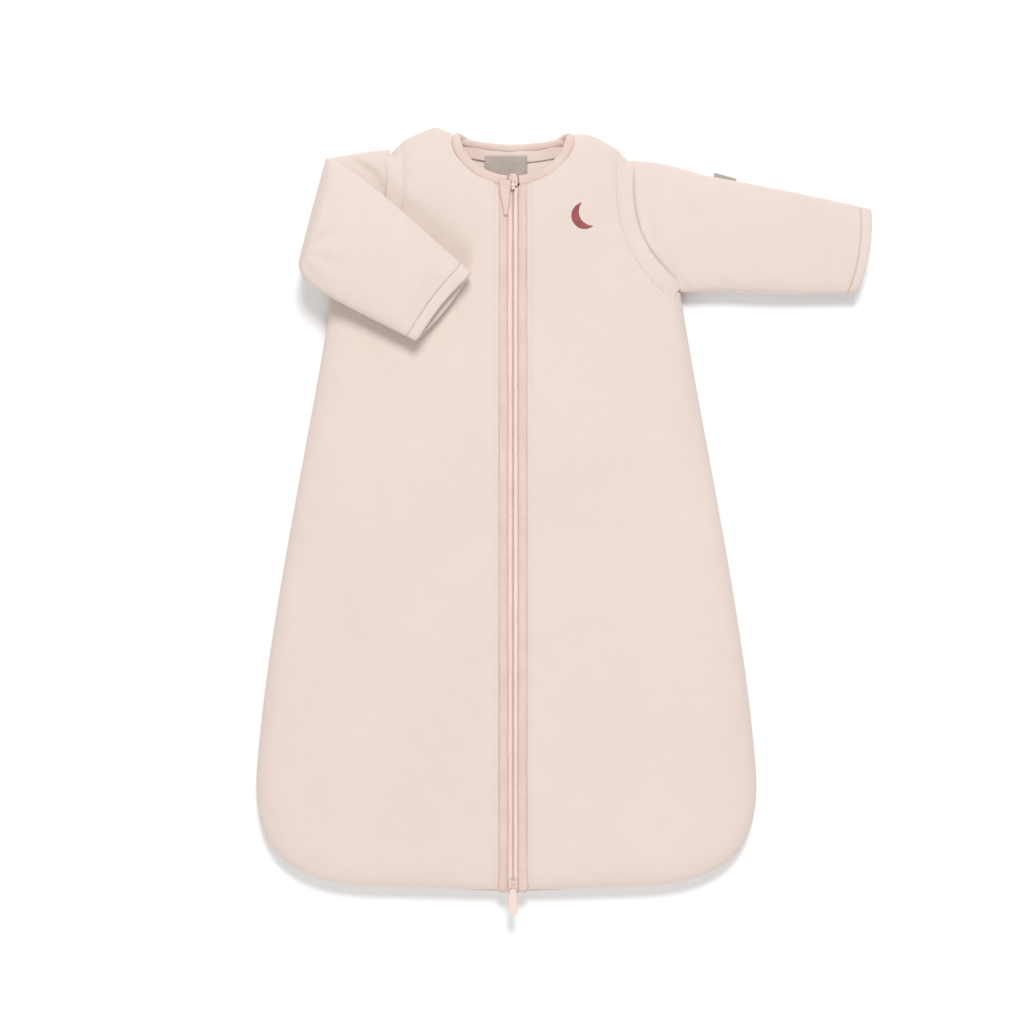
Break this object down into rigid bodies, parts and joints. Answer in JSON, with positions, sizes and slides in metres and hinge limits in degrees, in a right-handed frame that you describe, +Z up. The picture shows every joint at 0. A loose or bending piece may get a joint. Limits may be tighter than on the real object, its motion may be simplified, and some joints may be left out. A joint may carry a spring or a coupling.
{
  "type": "baby sleeping bag",
  "caption": "Padded baby sleeping bag with long sleeves, a full-length two-way zip, opening front flaps and zip-off sleeves, lying flat on its back.",
  "frame": {"origin": "on the flat underside of the back, below the zip, half way between the shoulder points and the hem", "axes": "+Y along the zip towards the neck, +Z up through the front, +X towards the sleeve that lies straight out"},
  "size_m": [0.5651, 0.7204, 0.0504],
  "materials": {
    "shell": "soft brushed jersey, matt",
    "binding": "rolled jersey binding, matt",
    "lining": "cream cotton, matt",
    "wadding": "fluffy wadding",
    "zip_tape": "woven tape with nylon coil",
    "slider": "satin",
    "pull": "satin",
    "label": "printed satin label, plain",
    "moon": "satin stitch embroidery"
  },
  "bodies": {
    "root": {"back_shell": "shell", "back_wadding": "wadding", "back_lining": "lining", "front_right_shell": "shell", "front_right_wadding": "wadding", "front_right_lining": "lining", "front_left_shell": "shell", "front_left_wadding": "wadding", "front_left_lining": "lining", "placket_right_foot": "binding", "placket_left_foot": "binding", "neck_binding_right_shoulder": "binding", "neck_binding_left_shoulder": "binding", "neck_binding_back": "binding", "zip_foot_right": "zip_tape", "zip_foot_left": "zip_tape", "zip_bottom_stop": "zip_tape", "neck_label": "label", "moon_applique": "moon", "armhole_lap_right": "binding", "armhole_lap_left": "binding", "sleeve_zip_right": "zip_tape", "sleeve_zip_left": "zip_tape"},
    "flap_right": {"flap_right_shell": "shell", "flap_right_wadding": "wadding", "flap_right_lining": "lining", "placket_right": "binding", "neck_binding_right": "binding", "zip_side_right": "zip_tape"},
    "flap_left": {"flap_left_shell": "shell", "flap_left_wadding": "wadding", "flap_left_lining": "lining", "placket_left": "binding", "neck_binding_left": "binding", "zip_side_left": "zip_tape", "chin_guard": "binding"},
    "top_slider_body": {"top_slider": "slider"},
    "top_pull_body": {"top_pull": "slider"},
    "bottom_slider_body": {"bottom_slider": "slider"},
    "bottom_pull_body": {"bottom_pull": "pull"},
    "sleeve_right": {"sleeve_right_shell": "shell", "sleeve_right_wadding": "wadding", "sleeve_right_lining": "lining"},
    "sleeve_left": {"sleeve_left_shell": "shell", "sleeve_left_wadding": "wadding", "sleeve_left_lining": "lining"},
    "forearm_right": {"forearm_right_shell": "shell", "forearm_right_wadding": "wadding", "forearm_right_lining": "lining", "cuff_hem_right": "binding", "sleeve_tag": "label"},
    "forearm_left": {"forearm_left_shell": "shell", "forearm_left_wadding": "wadding", "forearm_left_lining": "lining", "cuff_hem_left": "binding"}
  },
  "joints": [
    {"name": "top_zip_slide", "type": "slide", "parent": "root", "child": "top_slider_body", "axis": [0, 1, 0], "range_m": [-0.606, 0]},
    {"name": "top_pull_swing", "type": "hinge", "parent": "top_slider_body", "child": "top_pull_body", "pos_m": [0, 0.303, 0.0228], "axis": [-1, 0, 0], "range_deg": [0, 150]},
    {"name": "bottom_zip_slide", "type": "slide", "parent": "root", "child": "bottom_slider_body", "axis": [0, 1, 0], "range_m": [0, 0.6]},
    {"name": "bottom_pull_swing", "type": "hinge", "parent": "bottom_slider_body", "child": "bottom_pull_body", "pos_m": [0, -0.3452, 0.0228], "axis": [1, 0, 0], "range_deg": [-170, 0]},
    {"name": "flap_right_open", "type": "hinge", "parent": "root", "child": "flap_right", "pos_m": [0, -0.3, 0.0271], "axis": [-0.074, -0.9973, 0], "range_deg": [-85, 0]},
    {"name": "flap_left_open", "type": "hinge", "parent": "root", "child": "flap_left", "pos_m": [0, -0.3, 0.0271], "axis": [-0.074, 0.9973, 0], "range_deg": [-85, 0]},
    {"name": "sleeve_right_off", "type": "slide", "parent": "root", "child": "sleeve_right", "axis": [1, 0, 0], "range_m": [0, 0.07]},
    {"name": "forearm_right_fold", "type": "hinge", "parent": "sleeve_right", "child": "forearm_right", "pos_m": [0.174, 0.308, 0.0268], "axis": [0.2032, -0.9791, 0], "range_deg": [0, 178]},
    {"name": "sleeve_left_off", "type": "slide", "parent": "root", "child": "sleeve_left", "axis": [-1, 0, 0], "range_m": [0, 0.07]},
    {"name": "forearm_left_unfold", "type": "hinge", "parent": "sleeve_left", "child": "forearm_left", "pos_m": [-0.172, 0.322, 0.0268], "axis": [-0.2474, -0.9689, 0], "range_deg": [0, 178]}
  ]
}
